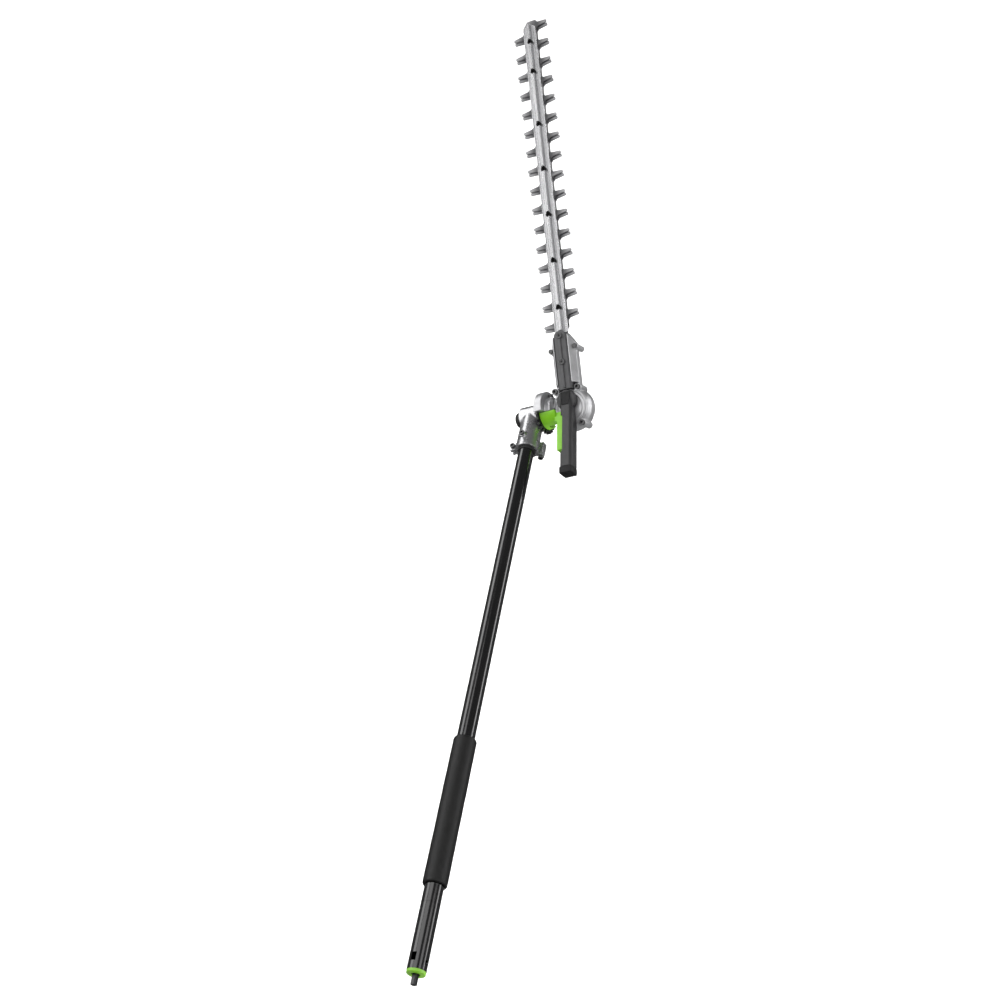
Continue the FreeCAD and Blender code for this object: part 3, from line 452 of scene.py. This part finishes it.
def chop_corner(bar, side):
    """Slants the bar's tip on one side, from TIP_CHOP before its end."""
    half, height, length = 14, 12, 40
    block = extruded([(-half, 0), (-half, height), (half, height), (half, 0)], 0, length)
    spot = HEAD @ Matrix.Translation(Vector((BAR_END - TIP_CHOP, side * BAR_HALF, 0)) * MM)
    turn = Matrix.Rotation(-side * TIP_ANGLE, 4, "Z")
    shift = Matrix.Translation(Vector((-12, side * half, 0)) * MM)
    block.data.transform(spot @ (turn @ shift) @ HEAD.inverted())
    combined(bar, block, "DIFFERENCE")


def foam_sleeve():
    """The foam grip: soft rounded ends, a faint unevenness along it, and a pitted skin."""
    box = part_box("foam_grip")
    start, end = box[0][0] / MM, box[1][0] / MM
    mouth = [(FOAM_BORE, 1.2), (12.6, 0.35), (13.4, 0.0), (14.4, 0.3), (15.1, 1.3), (FOAM_RADIUS, 2.8)]
    margin, unevenness = 3.2, 0.1
    middle = [(FOAM_RADIUS + unevenness * math.sin(0.11 * step) * math.cos(0.047 * step), margin + step)
              for step in range(int(end - start - 2 * margin))]
    outline = mouth + middle + [(radius, end - start - along) for radius, along in reversed(mouth)]
    build = bmesh.new()
    rings = [[build.verts.new(Vector((start + along, y, z)) * MM) for y, z in circle(radius, 144)]
             for radius, along in outline]
    wall(build, rings + rings[:1])
    bmesh.ops.recalc_face_normals(build, faces=build.faces)
    sleeve = built(build, "foam_sleeve")
    pits = bpy.data.textures.new("pits", "CLOUDS")
    pits.noise_scale = 0.0022
    pits.noise_depth = 2
    skin = sleeve.modifiers.new("pits", "DISPLACE")
    skin.texture = pits
    skin.texture_coords = "GLOBAL"
    skin.strength = 0.00022
    skin.mid_level = 0.6
    applied(sleeve)
    smooth_by_angle(sleeve, 60)
    dress(sleeve, "foam")
    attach(sleeve, "root")
    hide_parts("foam_grip")


def plug_cap():
    """The rubber plug on the hub: a domed cap about the fold axis; profile holds (along Y, radius)."""
    profile = [(16.3, 10.5), (16.3, 11.6), (17.0, 12.4), (18.4, 12.8), (22.0, 12.8), (24.4, 12.3),
               (26.2, 11.0), (27.3, 9.0), (27.6, 7.0), (27.0, 6.4), (26.4, 5.8)]
    plug = closed("pivot_plug_cap", [[HEAD_PIVOT + Vector((x, along, z)) * MM
                                      for x, z in circle(radius, 96)] for along, radius in profile])
    smooth_by_angle(plug, 40)
    dress(plug, "black_rubber")
    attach(plug, "root")
    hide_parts("pivot_end_plug")


def handle_inset():
    """The matt panel let into the handle, which narrows away from the head."""
    wide_end, narrow_end = (-3.4, 8.4), (17.5, 5.8)
    face, bed = 6.95, 5.4
    build = bmesh.new()
    bmesh.ops.create_cube(build, size=1.0)
    for vert in build.verts:
        along, half = narrow_end if vert.co.x > 0 else wide_end
        across = half if vert.co.y > 0 else -half
        vert.co = HANDLE @ (Vector((along, across, face if vert.co.z > 0 else bed)) * MM)
    bmesh.ops.bevel(build, geom=list(build.edges), offset=0.35 * MM, segments=3, profile=0.6,
                    affect="EDGES")
    inset = built(build, "handle_inset")
    smooth_by_angle(inset, 40)
    dress(inset, "panel_black")
    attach(inset, "head")
    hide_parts("handle_panel")


# ---------------------------------------------------------------- the object
# The bar screws get the near-black hole look: painted shade down their pockets.
NODE_LOOK = {"bar_screws": "hole_black", "drive_shaft": "dark_steel"}
REMADE = {*SKINS, "guide_bar", "pivot_end_plug", "handle_panel", "foam_grip"}
# Edge radii; a node that isn't listed has SMALL_EDGE.
EDGE = {"upper_blade": 0.75, "lower_blade": 0.75, "end_cap": 0.4, "seal_ring": 0.5, "detent_ring": 0.4}
SMALL_EDGE = 0.35

for name, node in frame["nodes"].items():
    dress(node, NODE_LOOK.get(name, SLOT[name]))
    if name not in REMADE:
        round_edges(node, EDGE.get(name, SMALL_EDGE) * MM, 1 if name.endswith("blade") else 3)
for node, settings in SKINS.items():
    cast_skin(node, *settings)
guide_bar()
foam_sleeve()
plug_cap()
handle_inset()


# ---------------------------------------------------------------- camera, floor and light
CAMERA_AT = Vector((-0.55566, -0.94156, 1.29996))
CAMERA_RIGHT = Vector((0.16977, -0.86209, -0.47747))
CAMERA_UP = Vector((0.76840, -0.18756, 0.61187))
camera_data = bpy.data.cameras.new("camera")
camera_data.lens = 50.0
camera_data.sensor_width = 36.0
camera_data.clip_end = 50.0
camera = linked("camera", camera_data)
back = CAMERA_RIGHT.cross(CAMERA_UP).normalized()
across = CAMERA_UP.cross(back).normalized()
facing = Matrix((across, back.cross(across), back)).transposed()
camera.matrix_world = Matrix.Translation(CAMERA_AT) @ facing.to_4x4()
bpy.context.scene.camera = camera

FLOOR_HALF, FLOOR_DROP = 60.0, 0.9
build = bmesh.new()
bmesh.ops.create_grid(build, x_segments=2, y_segments=2, size=FLOOR_HALF)
floor = built(build, "floor")
floor.location = (0.7, 0, cad_box[0][2] - FLOOR_DROP)
paint, _, shader = new_material("floor")
shader.inputs["Base Color"].default_value = (0.93, 0.93, 0.93, 1)
shader.inputs["Roughness"].default_value = 0.9
shader.inputs["Specular IOR Level"].default_value = 0.1
floor.data.materials.append(paint)
floor.visible_glossy = False


def softbox(name, place, target, size, power):
    light = bpy.data.lights.new(name, "AREA")
    light.shape = "RECTANGLE"
    light.size, light.size_y = size
    light.energy = power
    lamp = linked(name, light)
    lamp.location = place
    lamp.rotation_euler = (Vector(target) - Vector(place)).to_track_quat("-Z", "Y").to_euler()
    return lamp


MIDDLE = (0.75, -0.05, 0.1)
FAR_END = (1.6, 0, 0)
softbox("strip", (1.6, 1.08, 1.4), FAR_END, size=(3.8, 0.9), power=34)
low_side = softbox("low_side", (1.6, -1.75, -0.6), FAR_END, size=(3.8, 0.5), power=26)
low_side.visible_diffuse = False
softbox("fill", (0.1, -2.3, 1.3), MIDDLE, size=(2.4, 1.2), power=22)
softbox("top", (0.9, -0.3, 3.0), MIDDLE, size=(2.2, 2.2), power=34)

# The sun lights the floor alone, so the floor stays pale and the object keeps its dark tones.
daylight = bpy.data.lights.new("floor_wash", "SUN")
daylight.energy = 3.2
daylight.angle = 1.5
sun = linked("floor_wash", daylight)
floor_only = bpy.data.collections.new("floor_only")
floor_only.objects.link(floor)
sun.light_linking.receiver_collection = floor_only

world = bpy.data.worlds.new("studio")
world.use_nodes = True
sky = world.node_tree.nodes["Background"]
sky.inputs["Color"].default_value = (1, 1, 1, 1)
sky.inputs["Strength"].default_value = 0.16
bpy.context.scene.world = world
bpy.context.scene.view_settings.view_transform = "Standard"
